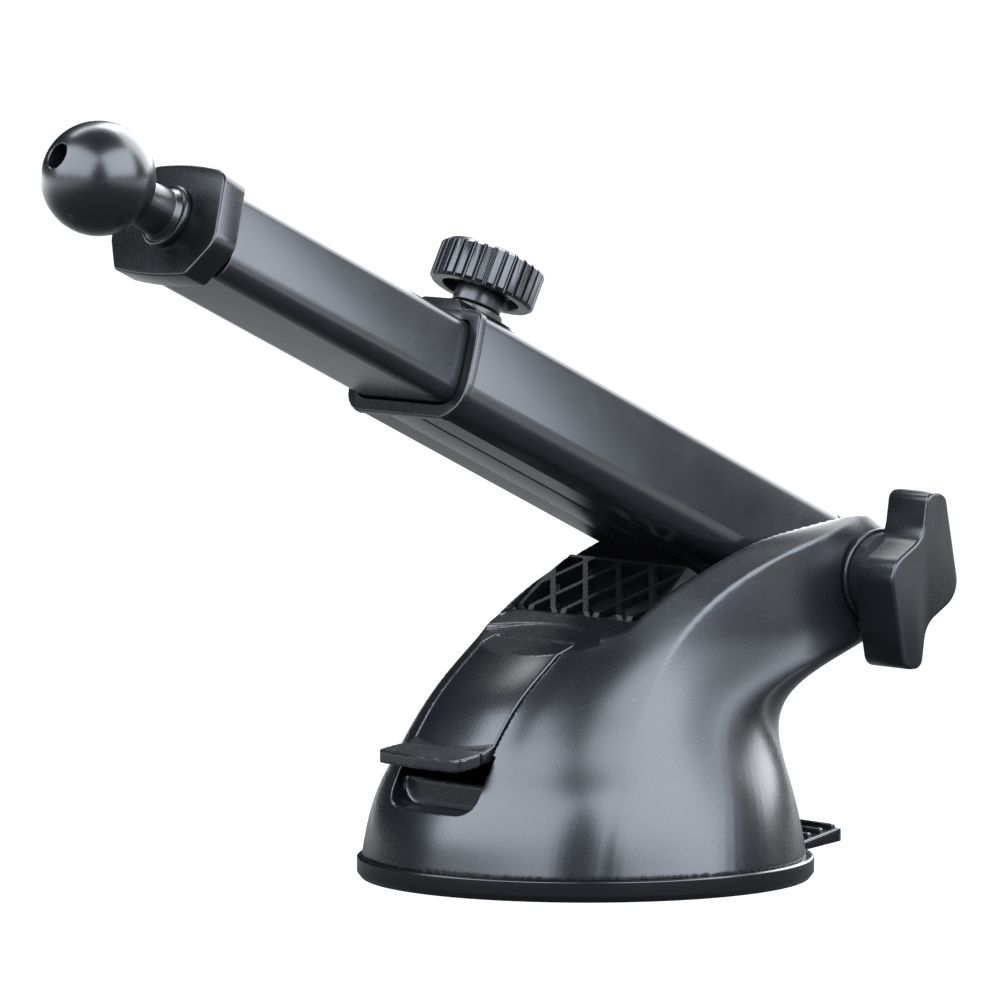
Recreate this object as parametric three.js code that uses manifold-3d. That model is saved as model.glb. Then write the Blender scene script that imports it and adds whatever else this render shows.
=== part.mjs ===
// Telescopic car phone mount: suction base, hinged telescopic arm and ball stud.
// Millimetres, +Z up. The origin is the centre of the flat suction face, the arm leans out over -Y,
// and the tilt hinge runs along X with its wing knob on the +X side.
import * as THREE from "three";
import { mergeVertices } from "three/addons/utils/BufferGeometryUtils.js";
import Module from "manifold-3d";

const wasm = await Module();
wasm.setup();

// ---- driving dimensions ----
const GAP = 0.3;

const BALL_R = 8.5;
const BALL_HOLE_R = 2;
const NECK_R = 3.75;

const ARM_PITCH = THREE.MathUtils.degToRad(25.75);
const HINGE_Y = 42.4;
const HINGE_Z = 45.2;

const REACH = 148.6; // hinge axis to ball centre
const PLATE_FRONT = REACH - 14.2;
const PLATE_REAR = REACH - 18.5;
const INNER_FRONT = REACH - 18.8;
const INNER_REAR = REACH - 95;
const OUTER_FRONT = REACH - 67;
const OUTER_REAR = 4.5;
const COLLAR_FRONT = REACH - 65.7;
const THUMB_AT = REACH - 72.5;

const THUMB_R = 8.3;
const THUMB_LOW = 13.1;
const THUMB_HIGH = 19.7;
const THUMB_RIBS = 30;
const THUMB_NECK = 3.85;

const CUP_R = 35.1;
const CUP_TOP = 3.3;
const CORE_R = 12.9;
const CAVITY_TOP = 28.7;
const LEDGE_ARCH = 4.5;
const WALL = 2.4;

const CHANNEL_HALF = 16;
const CHEEK_FACE = 19;
const LEVER_HALF = 9.5;
const LIP_HALF = 10.2;
const LEVER_Y = -9.5;
const LEVER_Z = 31;
const LEVER_HUB_R = 4;
const STEM_PIN_Z = 20;
const WINDOW_LOW = 12.2;
const POCKET_BACK = -26.6;
const POCKET_TOP = 16.4;

const SCREWS = [[0, 25], [-21, -10], [21, -10]];
const KNOB_BACK = 20.2;
const KNOB_FACE = 30.4;

// ---- looks ----
const satin = new THREE.MeshStandardMaterial({ color: 0x3a3e45, roughness: 0.36, metalness: 0.35 });
const black = new THREE.MeshStandardMaterial({ color: 0x121315, roughness: 0.5, metalness: 0 });
const rubber = new THREE.MeshStandardMaterial({ color: 0x0b0b0c, roughness: 0.3, metalness: 0 });
const steel = new THREE.MeshStandardMaterial({ color: 0x9a9da1, roughness: 0.3, metalness: 1 });
const brass = new THREE.MeshStandardMaterial({ color: 0xb08d4a, roughness: 0.35, metalness: 1 });

// ---- solids ----
function solid(geometry, matrix) {
  const g = geometry.index ? geometry.toNonIndexed() : geometry.clone();
  const bare = new THREE.BufferGeometry();
  bare.setAttribute("position", g.getAttribute("position"));
  if (matrix) bare.applyMatrix4(matrix);
  const merged = mergeVertices(bare, 1e-4);
  const mesh = new wasm.Mesh({
    numProp: 3,
    vertProperties: merged.attributes.position.array,
    triVerts: new Uint32Array(merged.index.array),
  });
  return new wasm.Manifold(mesh);
}

function geometryOf(body) {
  const m = body.asOriginal().simplify(0.004).getMesh();
  const g = new THREE.BufferGeometry();
  g.setAttribute("position", new THREE.BufferAttribute(new Float32Array(m.vertProperties), 3));
  g.setIndex(new THREE.BufferAttribute(new Uint32Array(m.triVerts), 1));
  const flat = g.toNonIndexed();
  flat.computeVertexNormals();
  return flat;
}

function frameOf(x, y, z, at) {
  const m = new THREE.Matrix4().makeBasis(x, y, z);
  m.setPosition(at);
  return m;
}

const X = new THREE.Vector3(1, 0, 0);
const Y = new THREE.Vector3(0, 1, 0);
const Z = new THREE.Vector3(0, 0, 1);
const BACK = new THREE.Vector3(0, -1, 0);

function v3(x, y, z) {
  return new THREE.Vector3(x, y, z);
}

// An outline whose corners are rounded: corners are [x, y, radius].
function rounded(corners, steps = 4) {
  const out = [];
  const n = corners.length;
  for (let i = 0; i < n; i++) {
    const [x, y, r] = corners[i];
    const here = new THREE.Vector2(x, y);
    const before = new THREE.Vector2(...corners[(i + n - 1) % n]).sub(here).normalize();
    const after = new THREE.Vector2(...corners[(i + 1) % n]).sub(here).normalize();
    if (!r) {
      out.push(here);
      continue;
    }
    const half = Math.acos(THREE.MathUtils.clamp(before.dot(after), -1, 1)) / 2;
    const reach = r / Math.tan(half);
    const a = here.clone().addScaledVector(before, reach);
    const b = here.clone().addScaledVector(after, reach);
    const centre = here.clone().addScaledVector(before.clone().add(after).normalize(), r / Math.sin(half));
    const from = Math.atan2(a.y - centre.y, a.x - centre.x);
    let turn = Math.atan2(b.y - centre.y, b.x - centre.x) - from;
    if (turn > Math.PI) turn -= 2 * Math.PI;
    if (turn < -Math.PI) turn += 2 * Math.PI;
    for (let k = 0; k <= steps; k++) {
      const w = from + (turn * k) / steps;
      out.push(new THREE.Vector2(centre.x + r * Math.cos(w), centre.y + r * Math.sin(w)));
    }
  }
  return out;
}

// A prism with its outline in the (first, second) axes, starting at `at` and rising along their normal.
function prism(outline, depth, first, second, at) {
  const shape = new THREE.Shape(outline.map((p) => new THREE.Vector2(p.x, p.y)));
  const g = new THREE.ExtrudeGeometry(shape, { depth, bevelEnabled: false });
  return solid(g, frameOf(first, second, first.clone().cross(second), at));
}

function alongX(outline, x0, x1) {
  return prism(outline, x1 - x0, Y, Z, v3(x0, 0, 0));
}

function alongZ(outline, z0, z1) {
  return prism(outline, z1 - z0, X, Y, v3(0, 0, z0));
}

// Arm pieces: the outline lies in X and the arm's own up axis, and the prism runs towards the ball.
function alongArm(outline, s0, s1) {
  return prism(outline, s1 - s0, X, Z, v3(0, -s0, 0));
}

function box(x0, x1, y0, y1, z0, z1) {
  const g = new THREE.BoxGeometry(x1 - x0, y1 - y0, z1 - z0);
  const centre = v3((x0 + x1) / 2, (y0 + y1) / 2, (z0 + z1) / 2);
  return solid(g, new THREE.Matrix4().setPosition(centre));
}

// A turned body: profile points are [radius, height] from the foot of the axis to its top.
function turned(profile, sides, axis, at) {
  const pts = profile.map(([r, h]) => new THREE.Vector2(r, h));
  const g = new THREE.LatheGeometry(pts, sides);
  const q = new THREE.Quaternion().setFromUnitVectors(Y, axis);
  const m = new THREE.Matrix4().compose(at, q, v3(1, 1, 1));
  return solid(g, m);
}

function rod(r, h0, h1, sides, axis, at) {
  return turned([[0, h0], [r, h0], [r, h1], [0, h1]], sides, axis, at);
}

function ring(r0, r1, h0, h1, sides, axis, at) {
  return turned([[r0, h0], [r1, h0], [r1, h1], [r0, h1], [r0, h0]], sides, axis, at);
}

function outlinePoints(pairs) {
  return pairs.map(([x, y]) => new THREE.Vector2(x, y));
}

// ---- housing surface ----
// One level of the housing: height, front apex, shoulder crease (x, y), the directions of the surface
// as it reaches and leaves the crease, widest point (x, y), rear apex, and how full the front and how square
// the rear are.
const LEVELS = [
  { z: 3.6, yF: -33.9, xc: 28, yc: -19.2, ain: 62, aout: 56, w: 33.9, yw: 0, yB: 33.9, full: -0.15, sq: 0.552 },
  { z: 9, yF: -32.9, xc: 27.7, yc: -17.9, ain: 62, aout: 58, w: 32.5, yw: 1, yB: 32.9, full: -0.1, sq: 0.552 },
  { z: 15, yF: -30.6, xc: 26.8, yc: -15.6, ain: 63, aout: 60, w: 30.3, yw: 3, yB: 31.0, full: 0.15, sq: 0.56 },
  { z: 19, yF: -28.6, xc: 25.5, yc: -12.8, ain: 64, aout: 63, w: 27.9, yw: 4, yB: 29.8, full: 0.4, sq: 0.57 },
  { z: 22, yF: -27.0, xc: 24.7, yc: -11, ain: 65, aout: 66, w: 26.2, yw: 5, yB: 29.1, full: 0.62, sq: 0.58 },
  { z: 25, yF: -24.9, xc: 23.9, yc: -9.1, ain: 66, aout: 70, w: 24.9, yw: 6, yB: 28.6, full: 0.8, sq: 0.63 },
  { z: 27, yF: -23.6, xc: 23.3, yc: -7.6, ain: 66, aout: 73, w: 24.1, yw: 7, yB: 29.0, full: 0.9, sq: 0.68 },
  { z: 29.7, yF: -21.2, xc: 22.6, yc: -5.6, ain: 67, aout: 79, w: 22.9, yw: 8, yB: 30.5, full: 0.97, sq: 0.77 },
  { z: 31.4, yF: -19.4, xc: 22.2, yc: -4.2, ain: 67, aout: 84, w: 22.1, yw: 12, yB: 32.2, full: 1, sq: 0.84 },
  { z: 33, yF: -17.5, xc: 21.8, yc: -2.9, ain: 68, aout: 90, w: 21, yw: 22, yB: 37, full: 1, sq: 0.9 },
  { z: 34.4, yF: -15.8, xc: 21.5, yc: -1.7, ain: 68, aout: 92, w: 20.1, yw: 30, yB: 41.6, full: 1, sq: 0.94 },
  { z: 35.6, yF: -14.3, xc: 21.2, yc: -0.7, ain: 68, aout: 92, w: 19.5, yw: 36, yB: 47.6, full: 1, sq: 0.96 },
  { z: 37, yF: -12.9, xc: 20.9, yc: 0.8, ain: 68, aout: 92, w: 19.1, yw: 38, yB: 50.6, full: 1, sq: 0.96 },
  { z: 40, yF: -12.6, xc: 20.3, yc: 4.4, ain: 68, aout: 91, w: 19, yw: 40, yB: 53, full: 1, sq: 0.96 },
  { z: 43.4, yF: -11.3, xc: 19.7, yc: 9.5, ain: 69, aout: 91, w: 19, yw: 41, yB: 53.6, full: 1, sq: 0.96 },
  { z: 46, yF: -9.3, xc: 19.3, yc: 14.4, ain: 71, aout: 90, w: 19, yw: 41, yB: 53.6, full: 1, sq: 0.96 },
  { z: 48.4, yF: -3.3, xc: 19, yc: 20.2, ain: 73, aout: 90, w: 19, yw: 41, yB: 52.9, full: 1, sq: 0.96 },
  { z: 50.9, yF: 0.3, xc: 19, yc: 27.8, ain: 76, aout: 90, w: 19, yw: 41, yB: 51.4, full: 1, sq: 0.96 },
  { z: 52.6, yF: 4.8, xc: 19, yc: 36.5, ain: 79, aout: 90, w: 19, yw: 41, yB: 49.3, full: 1, sq: 0.96 },
  { z: 53.8, yF: 21.1, xc: 17.8, yc: 38.5, ain: 84, aout: 90, w: 17.8, yw: 41, yB: 47, full: 1, sq: 0.94 },
  { z: 54.5, yF: 34.3, xc: 16.5, yc: 40, ain: 86, aout: 90, w: 16.5, yw: 41, yB: 44.8, full: 1, sq: 0.9 },
];
const FRONT_STEPS = 10;
const SIDE_STEPS = 4;
const REAR_STEPS = 9;

function bezier(out, a, b, c, d, steps) {
  for (let i = 0; i < steps; i++) {
    const t = i / steps;
    const u = 1 - t;
    const x = u * u * u * a[0] + 3 * u * u * t * b[0] + 3 * u * t * t * c[0] + t * t * t * d[0];
    const y = u * u * u * a[1] + 3 * u * u * t * b[1] + 3 * u * t * t * c[1] + t * t * t * d[1];
    out.push([x, y]);
  }
}

function levelOutline(l, inset) {
  const f = [0, l.yF + inset];
  const xc = l.xc - inset * 0.8;
  const yc = l.yc + inset * 0.3;
  const c = [xc, yc];
  const w = [l.w - inset, Math.max(l.yw, yc + 1)];
  const r = [0, l.yB - inset];
  const span = Math.hypot(c[0] - f[0], c[1] - f[1]) * (0.36 + 0.06 * l.full);
  const ain = THREE.MathUtils.degToRad(l.ain);
  const aout = THREE.MathUtils.degToRad(l.aout);
  const side = Math.hypot(w[0] - c[0], w[1] - c[1]) * 0.34;
  const half = [];
  const near = [c[0] - span * Math.cos(ain), c[1] - span * Math.sin(ain)];
  bezier(half, f, [(0.41 + 0.15 * l.full) * c[0], f[1]], near, c, FRONT_STEPS);
  bezier(half, c, [c[0] + side * Math.cos(aout), c[1] + side * Math.sin(aout)], [w[0], w[1] - side], w, SIDE_STEPS);
  bezier(half, w, [w[0], w[1] + l.sq * (r[1] - w[1])], [l.sq * w[0], r[1]], r, REAR_STEPS);
  half.push(r);
  const left = half.slice(1, -1).reverse().map(([x, y]) => [-x, y]);
  return half.concat(left);
}

function levelAt(z) {
  let i = 0;
  while (i < LEVELS.length - 2 && LEVELS[i + 1].z < z) i++;
  const a = LEVELS[i];
  const b = LEVELS[i + 1];
  const t = (z - a.z) / (b.z - a.z);
  const out = {};
  for (const key of Object.keys(a)) out[key] = a[key] + (b[key] - a[key]) * t;
  return out;
}

function loft(levels, inset) {
  const rings = levels.map((l) => levelOutline(l, inset).map(([x, y]) => v3(x, y, l.z)));
  const count = rings[0].length;
  const pos = [];
  const tri = (a, b, c) => pos.push(a.x, a.y, a.z, b.x, b.y, b.z, c.x, c.y, c.z);
  for (let k = 0; k + 1 < rings.length; k++) {
    for (let i = 0; i < count; i++) {
      const j = (i + 1) % count;
      tri(rings[k][i], rings[k][j], rings[k + 1][j]);
      tri(rings[k][i], rings[k + 1][j], rings[k + 1][i]);
    }
  }
  const cap = (r, up) => {
    const mid = v3(0, (r[0].y + r[REAR_STEPS + SIDE_STEPS + FRONT_STEPS].y) / 2, r[0].z);
    for (let i = 0; i < count; i++) {
      const j = (i + 1) % count;
      if (up) tri(r[i], r[j], mid);
      else tri(r[j], r[i], mid);
    }
  };
  cap(rings[0], false);
  cap(rings[rings.length - 1], true);
  const g = new THREE.BufferGeometry();
  g.setAttribute("position", new THREE.Float32BufferAttribute(pos, 3));
  return solid(g);
}

// ---- shared cutters of the housing and the lever ----
const shell = loft(LEVELS, 0);
const lowLevels = [{ ...LEVELS[0], z: 2 }, ...LEVELS.filter((l) => l.z < CAVITY_TOP), levelAt(CAVITY_TOP)];
const cavity = loft(lowLevels, WALL);

// What the channel removes: above the scoop, the ledge, the rib recess and the rear floor. The ledge's front
// edge is arched, so the side view changes from slice to slice across the width.
function makeChannel(slices = 12) {
  const sides = [];
  for (let k = 0; k <= slices; k++) {
    const x = CHANNEL_HALF * ((2 * k) / slices - 1);
    const back = LEDGE_ARCH * (1 - (x / CHANNEL_HALF) ** 2);
    const side = [
      [-30, 30.2], [-12.8, 35.8], [-9.6 + back, 37 + 0.4 * back], [-9.3 + back, 37.9 + 0.284 * back], [-1.2, 40.2],
      [-1.2, 33], [26, 33], [30, 31.5], [80, 31.5], [80, 80], [-30, 80],
    ];
    sides.push(side.map(([y, z]) => v3(x, y, z)));
  }
  const caps = THREE.ShapeUtils.triangulateShape(sides[0].map((p) => new THREE.Vector2(p.y, p.z)), []);
  const pos = [];
  const tri = (a, b, c) => pos.push(a.x, a.y, a.z, b.x, b.y, b.z, c.x, c.y, c.z);
  for (const [i, j, k] of caps) {
    tri(sides[0][k], sides[0][j], sides[0][i]);
    tri(sides[slices][i], sides[slices][j], sides[slices][k]);
  }
  for (let k = 0; k < slices; k++) {
    const a = sides[k];
    const b = sides[k + 1];
    for (let i = 0; i < a.length; i++) {
      const j = (i + 1) % a.length;
      tri(a[i], a[j], b[j]);
      tri(a[i], b[j], b[i]);
    }
  }
  const g = new THREE.BufferGeometry();
  g.setAttribute("position", new THREE.Float32BufferAttribute(pos, 3));
  return solid(g);
}
const channel = makeChannel();

// ---- suction base ----
function makeHousing() {
  const half = LEVER_HALF + GAP;
  const windowCorners = [[-10.5, WINDOW_LOW, 3], [10.5, WINDOW_LOW, 3], [10.5, 20.9, 0.6], [-10.5, 20.9, 0.6]];
  const window = prism(rounded(windowCorners), 24, X, Z, v3(0, POCKET_BACK, 0));
  const pocket = box(-12, 12, -34, POCKET_BACK + 1.4, WINDOW_LOW - 1.8, POCKET_TOP).intersect(shell);
  const footRoom = box(-half, half, -40, -20, POCKET_TOP, 21).add(box(-10.5, 10.5, -40, -25.4, POCKET_TOP, 20.9));
  const slot = box(-half, half, -40, LEVER_Y + 8, 20.8, LEVER_Z).add(footRoom);
  const slotTop = box(-half, half, -40, LEVER_Y, LEVER_Z - 1, 38);
  const hubRoom = rod(LEVER_HUB_R + GAP, -half, half, 28, X, v3(0, LEVER_Y, LEVER_Z));
  const leverBore = rod(1.5, -12.8, 12.8, 14, X, v3(0, LEVER_Y, LEVER_Z));
  const hingeAt = v3(0, HINGE_Y, HINGE_Z);
  const hingeBore = rod(2.8, -22, 22, 20, X, hingeAt)
    .add(rod(8.2, CHEEK_FACE, 22, 40, X, hingeAt)).add(rod(8.2, -22, -CHEEK_FACE, 40, X, hingeAt));
  let body = shell.subtract(cavity).add(pocket);
  for (const [x, y] of SCREWS) body = body.add(rod(3.2, 6, 16, 16, Z, v3(x, y, 0)).intersect(shell));
  body = body.add(box(-1.2, 1.2, 24, 30.5, 6, 16).intersect(shell));
  for (const side of [-1, 1]) {
    const web = box(Math.min(side * 20, side * 28), Math.max(side * 20, side * 28), -11.2, -8.8, 6, 16);
    body = body.add(web.intersect(shell));
  }
  for (const [x, y] of SCREWS) body = body.subtract(rod(1.4, 0, 14, 12, Z, v3(x, y, 0)));
  return body.subtract(channel).subtract(window).subtract(slot).subtract(slotTop)
    .subtract(hubRoom).subtract(leverBore).subtract(hingeBore);
}

function makeLever() {
  const skin = shell.subtract(loft(LEVELS.filter((l) => l.z > 12), 2));
  const front = box(-LEVER_HALF, LEVER_HALF, -40, LEVER_Y - 0.2, 21.2, 36);
  const panel = skin.intersect(front);
  const hub = rod(LEVER_HUB_R, -LEVER_HALF, LEVER_HALF, 28, X, v3(0, LEVER_Y, LEVER_Z));
  const lipPlan = rounded([
    [LEVER_HALF, -24, 0], [LEVER_HALF, -27.6, 0], [LIP_HALF, -28.4, 0], [LIP_HALF, -32.5, 1.3], [0, -33.1, 0],
    [-LIP_HALF, -32.5, 1.3], [-LIP_HALF, -28.4, 0], [-LEVER_HALF, -27.6, 0], [-LEVER_HALF, -24, 0],
  ]);
  const lipSide = outlinePoints([[-35, 20.35], [-35, 18.3], [-24, 20.3], [-22.5, 22], [-25.6, 22.4], [-27.4, 21.5]]);
  const lip = alongZ(lipPlan, 15, 25).intersect(alongX(lipSide, -LIP_HALF, LIP_HALF));
  const armSide = outlinePoints([
    [-28, 22.4], [-28, 34], [-9.5, 34], [-7.5, 29.6], [-3, 26], [5, 21.6], [5, 17.4], [-5.5, 17.4], [-13, 22.4],
  ]);
  const core = loft(LEVELS, 1);
  const headSide = outlinePoints([[-20, 30], [-9.7, 30], [-9.7, 37], [-20, 37]]);
  const pinSlot = rounded([[-4.4, 18.6, 1.35], [1.7, 18.6, 1.35], [1.7, 21.4, 1.35], [-4.4, 21.4, 1.35]]);
  let body = panel.add(hub).add(lip).add(alongX(headSide, -LEVER_HALF, LEVER_HALF).intersect(shell));
  for (const x of [-8.4, 6.4]) {
    const arm = alongX(armSide, x, x + 2).intersect(core).subtract(alongX(pinSlot, x - 1, x + 3));
    body = body.add(arm);
  }
  body = body.subtract(channel);
  return body.subtract(rod(1.55, -12, 12, 14, X, v3(0, LEVER_Y, LEVER_Z)));
}

function makeCup() {
  const profile = [
    [CORE_R + GAP, 0], [CUP_R - 0.7, 0], [CUP_R, 0.9], [CUP_R, CUP_TOP - 0.2], [CUP_R - 0.3, CUP_TOP],
    [31.2, CUP_TOP], [30.4, 1.8], [CORE_R + GAP, 1.6], [CORE_R + GAP, 0],
  ];
  let body = turned(profile, 96, Z, v3(0, 0, 0));
  const tabSide = outlinePoints([
    [33.4, 1.8], [37, 1.9], [44.8, 2.9], [45.1, 3.3], [44.7, 4.9], [44, 4.9], [36, 3.1], [33.4, 3.1]]);
  const tabPlan = rounded([[-8, 33, 0], [8, 33, 0], [8, 45.4, 1.5], [-8, 45.4, 1.5]]);
  body = body.add(alongZ(tabPlan, 0, 8).intersect(alongX(tabSide, -8, 8)));
  for (let i = 0; i < 3; i++) {
    const y = 38.6 + 2.4 * i;
    const z = 3.3 + 0.55 * i;
    body = body.add(box(-6.8, 6.8, y, y + 1, z, z + 1.1));
  }
  return body;
}

function makeBasePlate() {
  let body = ring(6, 30.6, 3.9, 5.6, 64, Z, v3(0, 0, 0));
  body = body.add(ring(6, 8, 4, 10, 32, Z, v3(0, 0, 0)));
  for (const [x, y] of SCREWS) body = body.subtract(rod(1.5, 2, 8, 12, Z, v3(x, y, 0)));
  return body;
}

function makeStem() {
  const profile = [
    [0, 0], [CORE_R, 0], [CORE_R, 1.5], [5, 1.6], [3.2, 3.4],
    [3.2, 22.4], [2.1, 22.6], [2.1, 25.4], [0, 25.4],
  ];
  return turned(profile, 48, Z, v3(0, 0, 0)).subtract(rod(1.4, -5, 5, 12, X, v3(0, 0, STEM_PIN_Z)));
}

function makeSpring() {
  const turns = 3.6;
  class Coil extends THREE.Curve {
    getPoint(t, target = new THREE.Vector3()) {
      const w = 2 * Math.PI * turns * t;
      return target.set(3.6 * Math.cos(w), 3.6 * Math.sin(w), 23.4 + 4.5 * t);
    }
  }
  const wire = new THREE.Shape();
  wire.absarc(0, 0, 0.4, 0, 2 * Math.PI);
  return solid(new THREE.ExtrudeGeometry(wire, { steps: 52, curveSegments: 6, extrudePath: new Coil() }));
}

// ---- arm ----
const SWELL_HIGH = 0.25;
const SWELL_LOW = 1.15;

// The points between two ends of a line that is bowed to its left by rise.
function bowed(a, b, rise, steps) {
  const way = [b[0] - a[0], b[1] - a[1]];
  const out = [];
  for (let i = 1; i < steps; i++) {
    const t = i / steps;
    const lift = (rise * 4 * t * (1 - t)) / Math.hypot(...way);
    out.push([a[0] + way[0] * t - way[1] * lift, a[1] + way[1] * t + way[0] * lift, 0]);
  }
  return out;
}

// The tube outline is flat on top, splays out to a crease low on each side and tucks under to a flat. Its sides
// swell a little above and below the crease.
function tubeOutline(top, topHalf, crease, creaseHalf, low, lowHalf) {
  const high = [-topHalf, top];
  const mid = [-creaseHalf, crease];
  const foot = [-lowHalf, low];
  const left = [
    [...high, 2], ...bowed(mid, high, SWELL_HIGH, 3).reverse(), [...mid, 0.5],
    ...bowed(foot, mid, SWELL_LOW, 4).reverse(), [...foot, 0.5],
  ];
  return rounded([...left, ...left.map(([x, y, r]) => [-x, y, r]).reverse()], 3);
}

function outerOutline(grow = 0) {
  return tubeOutline(8 + grow, 10.7 + grow, -3.5, 13.9 + grow, -9.2 - grow, 10.4 + grow);
}

function innerOutline(grow = 0) {
  return tubeOutline(6.15 + grow, 9.1 + grow * 0.85, -3.3, 11.9 + grow, -7.15 - grow, 8.8 + grow * 0.8);
}

function makeOuterTube() {
  let body = alongArm(outerOutline(), OUTER_REAR, OUTER_FRONT);
  body = body.subtract(alongArm(innerOutline(0.35), OUTER_REAR - 1, OUTER_FRONT + 1));
  body = body.subtract(box(-4.3, 4.3, -OUTER_FRONT - 1, -20, -10, -8.4));
  body = body.subtract(rod(4.4, 3, 10, 24, Z, v3(0, -THUMB_AT, 0)));
  return body.subtract(rod(1.6, -10, -5, 12, Z, v3(0, -15, 0)));
}

function makeCollar() {
  let body = alongArm(outerOutline(0.25), OUTER_FRONT + GAP, COLLAR_FRONT);
  body = body.add(alongArm(rounded([[-6.5, 5, 0], [6.5, 5, 0], [4.6, 9.8, 1.2], [-4.6, 9.8, 1.2]]), THUMB_AT - 8, COLLAR_FRONT));
  body = body.subtract(alongArm(outerOutline(0.3), THUMB_AT - 10, OUTER_FRONT + GAP - 0.01));
  body = body.add(rod(4.5, 8.5, 10.7, 28, Z, v3(0, -THUMB_AT, 0)));
  body = body.subtract(alongArm(innerOutline(0.35), THUMB_AT - 10, COLLAR_FRONT + 1));
  return body.subtract(rod(3, 0, 20, 16, Z, v3(0, -THUMB_AT, 0)))
    .subtract(rod(4.3, 0, 10, 6, Z, v3(0, -THUMB_AT, 0)));
}

function makeRoot() {
  let body = alongArm(outerOutline(), 0, OUTER_REAR - GAP).intersect(box(-13.2, 13.2, -30, 3, -12, 12));
  body = body.add(alongArm(innerOutline(-0.05), 2, 19.5));
  body = body.add(rod(8, -13.2, 13.2, 40, X, v3(0, 0, 0)).subtract(box(-20, 20, -20, GAP - OUTER_REAR, -12, 12)));
  body = body.subtract(alongArm(innerOutline(-2.5), 10.5, 20).intersect(box(-20, 20, -30, -10, -4.5, 5)));
  body = body.subtract(rod(2.8, -20, 20, 20, X, v3(0, 0, 0)));
  return body.subtract(rod(1.1, -10, -5.6, 12, Z, v3(0, -15, 0)));
}

function makeInnerTube() {
  let body = alongArm(innerOutline(), INNER_REAR, INNER_FRONT);
  return body.subtract(alongArm(innerOutline(-1.5), INNER_REAR - 1, INNER_FRONT + 1));
}

function makePlug() {
  return alongArm(innerOutline(-1.8), INNER_REAR + 0.4, INNER_REAR + 8)
    .subtract(alongArm(innerOutline(-3.6), INNER_REAR + 2.4, INNER_REAR + 9));
}

function makeEndPlate() {
  const face = rounded([
    [-9.8, 8.1, 3], [-13.2, -3.2, 3.6], [-9, -8.9, 1.2], [0, -9.2, 0],
    [9, -8.9, 1.2], [13.2, -3.2, 3.6], [9.8, 8.1, 3], [0, 8.6, 0],
  ]);
  const slim = face.map((p) => new THREE.Vector2(p.x * 0.965, p.y * 0.955));
  let body = alongArm(face, PLATE_REAR, PLATE_FRONT - 0.5).add(alongArm(slim, PLATE_REAR + 1, PLATE_FRONT));
  body = body.add(alongArm(innerOutline(-1.8), PLATE_REAR - 7, PLATE_REAR + 1));
  return body.subtract(rod(2.9, PLATE_REAR - 6, PLATE_FRONT + 4, 20, BACK, v3(0, 0, 0)));
}

function makeBallStud() {
  const foot = PLATE_FRONT + GAP;
  const profile = [
    [0, foot - 9.6], [2.5, foot - 9.6], [2.5, foot], [4.9, foot], [4.9, foot + 0.6],
    [NECK_R, foot + 1.6], [NECK_R, foot + 5.4],
  ];
  const start = Math.asin(3.7 / BALL_R);
  const end = Math.PI - Math.asin(BALL_HOLE_R / BALL_R);
  for (let i = 0; i <= 18; i++) {
    const w = start + ((end - start) * i) / 18;
    profile.push([BALL_R * Math.sin(w), REACH - BALL_R * Math.cos(w)]);
  }
  profile.push([BALL_HOLE_R, REACH + 3.5], [0, REACH + 3.5]);
  return turned(profile, 40, BACK, v3(0, 0, 0));
}

function makeThumbScrew() {
  const outline = [];
  for (let i = 0; i < THUMB_RIBS; i++) {
    for (const [step, r] of [[0.05, THUMB_R - 0.6], [0.13, THUMB_R], [0.67, THUMB_R], [0.75, THUMB_R - 0.6]]) {
      const w = (2 * Math.PI * (i + step)) / THUMB_RIBS;
      outline.push(new THREE.Vector2(r * Math.cos(w), r * Math.sin(w)));
    }
  }
  const knurl = prism(outline, THUMB_HIGH - THUMB_LOW, X, Y, v3(0, -THUMB_AT, THUMB_LOW));
  const low = THUMB_LOW;
  const high = THUMB_HIGH;
  const envelope = [
    [0, 7.95], [2.4, 7.95], [2.4, 11], [THUMB_NECK, 11], [THUMB_NECK, low + 1.9], [6.1, low + 1.9], [6.1, low],
    [THUMB_R - 0.5, low], [THUMB_R + 0.05, low + 0.5], [THUMB_R + 0.05, high - 0.9], [THUMB_R - 0.9, high], [0, high],
  ];
  const stem = [[0, 7.95], [2.4, 7.95], [2.4, 11], [THUMB_NECK, 11], [THUMB_NECK, low + 2.2], [0, low + 2.2]];
  const at = v3(0, -THUMB_AT, 0);
  return knurl.add(turned(stem, 32, Z, at)).intersect(turned(envelope, 52, Z, at));
}

// ---- hinge hardware ----
function makeKnob() {
  const half = [[7.1, -2.4, 4.6], [4.2, 13.5, 1.9], [0.5, 13.5, 1.6], [-0.45, 6.75, 4.5]];
  const pts = rounded([...half, ...half.map(([y, z, r]) => [-y, -z, r])], 6);
  const corners = pts.map((p) => new THREE.Vector2(p.x + HINGE_Y, p.y + HINGE_Z));
  const slim = pts.map((p) => new THREE.Vector2(p.x * 0.94 + HINGE_Y, p.y * 0.97 + HINGE_Z));
  const at = v3(0, HINGE_Y, HINGE_Z);
  let body = alongX(corners, KNOB_BACK + 0.8, KNOB_FACE - 0.4).add(alongX(slim, KNOB_BACK + 1, KNOB_FACE));
  body = body.add(rod(6.9, KNOB_BACK, KNOB_BACK + 2, 40, X, at));
  body = body.subtract(rod(2.8, KNOB_BACK - 1, 28.3, 16, X, at));
  return body.subtract(rod(5, KNOB_BACK - 1, 24.4, 6, X, at));
}

function makeBolt() {
  const at = v3(0, HINGE_Y, HINGE_Z);
  return rod(2.5, -20, 28, 20, X, at).add(rod(4.6, -21.4, -19.3, 6, X, at));
}

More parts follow.
